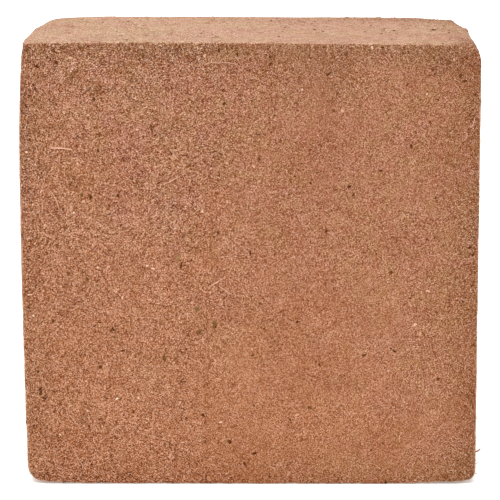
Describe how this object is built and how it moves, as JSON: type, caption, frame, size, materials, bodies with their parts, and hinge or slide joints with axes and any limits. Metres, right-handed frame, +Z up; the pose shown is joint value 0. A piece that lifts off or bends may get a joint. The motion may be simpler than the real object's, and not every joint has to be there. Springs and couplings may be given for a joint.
{
  "type": "pressed coconut coir block",
  "caption": "Square block of pressed coconut coir pith and short husk fibres, with rounded long corners and a softer rear rim, standing on a narrow side.",
  "frame": {"origin": "centre of the underside, on the surface that the block stands on", "axes": "+Z up, +X to the right of the big front face, +Y through the thickness from the front face to the rear face"},
  "size_m": [0.302, 0.12, 0.2999],
  "materials": {
    "coir_pith": "rough pressed pith, matte reddish brown with fine light and dark grains",
    "husk_fibre": "short pale husk fibres, slightly waxy",
    "husk_fleck": "dark brown and olive flecks of husk skin, matte"
  },
  "bodies": {
    "root": {"coir_block": "coir_pith"}
  },
  "joints": []
}
